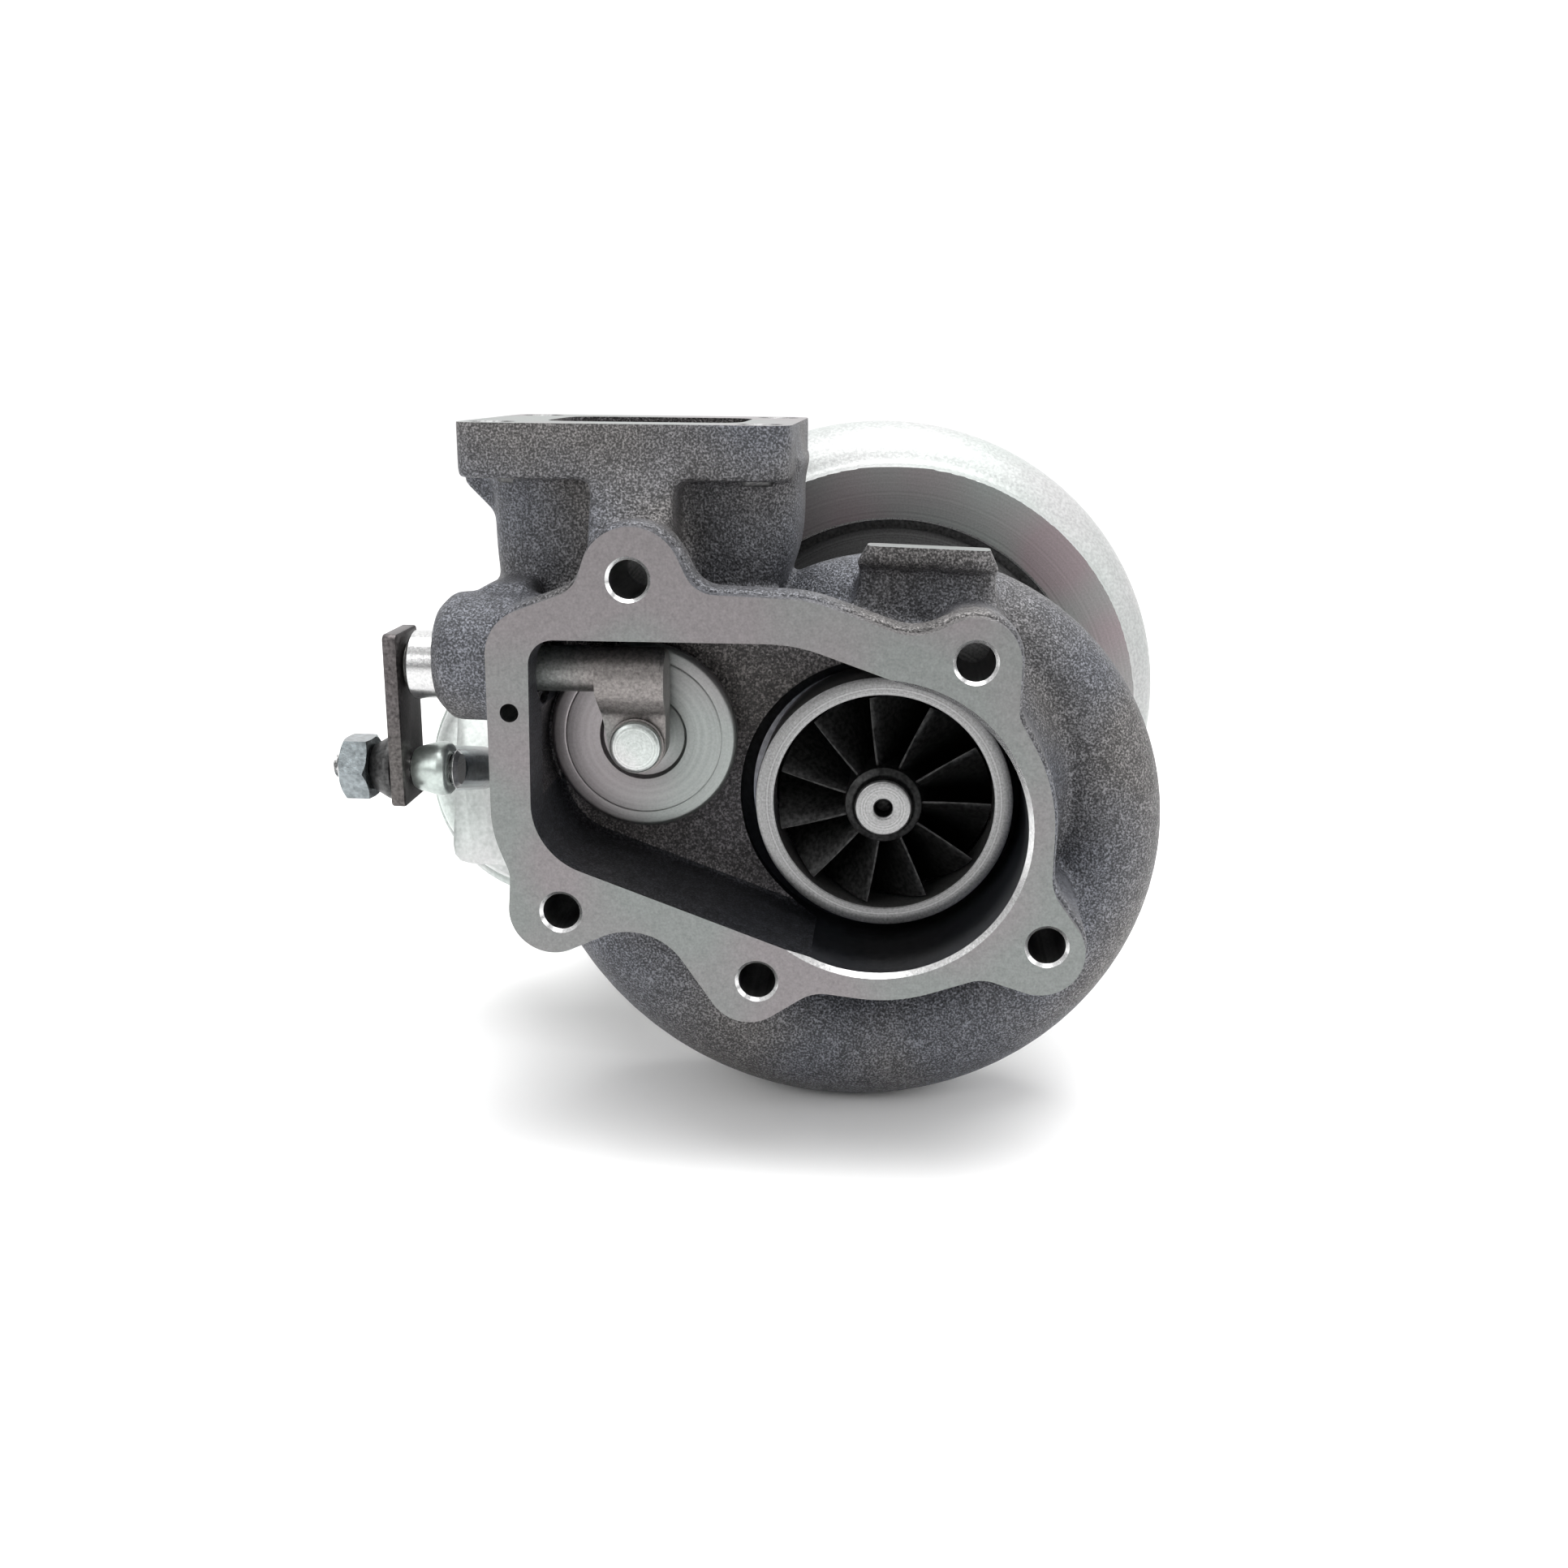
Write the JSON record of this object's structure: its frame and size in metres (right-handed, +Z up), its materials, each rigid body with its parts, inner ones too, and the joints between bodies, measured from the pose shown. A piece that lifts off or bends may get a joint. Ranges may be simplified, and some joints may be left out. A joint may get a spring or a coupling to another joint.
{
  "type": "turbocharger",
  "caption": "Turbocharger with scroll turbine housing, rectangular inlet flange, chambered outlet flange, internal flap wastegate, lever, canister actuator and aluminium compressor cover.",
  "frame": {"origin": "centre of the base of the whole object's box, where it stands on its two housings with the rotor axis level", "axes": "+Z up through the turbine inlet flange; +Y along the rotor axis, from the turbine outlet to the compressor inlet; +X to the right seen from the turbine outlet"},
  "size_m": [0.197, 0.17, 0.1607],
  "materials": {
    "cast_iron": "shot-blasted cast surface with fine milled faces",
    "bearing_iron": "rough cast with machined pads",
    "cast_aluminium": "fine cast, machined face",
    "dark_alloy": "dark heat-resistant alloy, as cast, machined nose",
    "steel": "turned",
    "dark_steel": "oiled black",
    "zinc": "bright zinc plate",
    "aluminium": "machined",
    "brass": "turned bronze",
    "rubber": "moulded"
  },
  "bodies": {
    "housing": {"turbine_housing": "cast_iron", "turbine_clamp_plate_right": "dark_steel", "turbine_clamp_plate_left": "dark_steel", "turbine_bolt_1": "dark_steel", "turbine_bolt_2": "dark_steel", "turbine_bolt_3": "dark_steel", "turbine_bolt_4": "dark_steel", "heat_shroud": "steel", "center_housing": "bearing_iron", "turbine_piston_ring": "steel", "journal_bearing": "brass", "thrust_bearing": "brass", "compressor_piston_ring": "steel", "seal_plate": "cast_aluminium", "seal_plate_o_ring": "rubber", "seal_plate_screw_1": "dark_steel", "seal_plate_screw_2": "dark_steel", "seal_plate_screw_3": "dark_steel", "seal_plate_screw_4": "dark_steel", "cover_snap_ring": "dark_steel", "compressor_cover": "cast_aluminium", "wastegate_bushing": "steel", "canister_front": "zinc", "canister_rear": "zinc", "diaphragm": "rubber", "actuator_spring": "steel", "canister_stud_1": "zinc", "canister_nut_1": "zinc", "canister_stud_2": "zinc", "canister_nut_2": "zinc", "hose_barb": "brass", "actuator_bracket": "zinc", "bracket_bolt_1": "zinc", "bracket_bolt_2": "zinc"},
    "rotor": {"turbine_wheel": "dark_alloy", "rotor_shaft": "steel", "thrust_collar": "steel", "oil_flinger": "steel", "compressor_wheel": "aluminium", "shaft_nut": "dark_steel"},
    "wastegate": {"wastegate_shaft": "steel", "wastegate_lever": "dark_steel", "lever_pin": "steel", "lever_nut": "zinc", "lever_washer": "dark_steel", "valve_washer": "steel"},
    "valve_disc": {"wastegate_valve": "steel"},
    "rod": {"actuator_rod": "zinc", "rod_end": "zinc", "piston_cup": "steel"}
  },
  "joints": [
    {"name": "shaft_spin", "type": "hinge", "parent": "housing", "child": "rotor", "pos_m": [0.02564, -0.007, 0.0813], "axis": [0, 1, 0], "continuous": true},
    {"name": "wastegate_swing", "type": "hinge", "parent": "housing", "child": "wastegate", "pos_m": [-0.06436, -0.0707, 0.1102], "axis": [-1, 0, 0], "range_deg": [0, 24], "stiffness_Nm_per_rad": 2, "springref_deg": -17.19, "deforming": ["actuator_spring", "diaphragm"]},
    {"name": "valve_disc_turn", "type": "hinge", "parent": "wastegate", "child": "valve_disc", "pos_m": [-0.02736, -0.067, 0.0939], "axis": [0, 1, 0], "continuous": true},
    {"name": "rod_pivot", "type": "hinge", "parent": "wastegate", "child": "rod", "pos_m": [-0.07176, -0.0707, 0.0873], "axis": [-1, 0, 0], "range_deg": [-25, 1]}
  ],
  "couplings": [
    {"joint": "rod_pivot", "follows": "wastegate_swing", "ratio": -1}
  ]
}
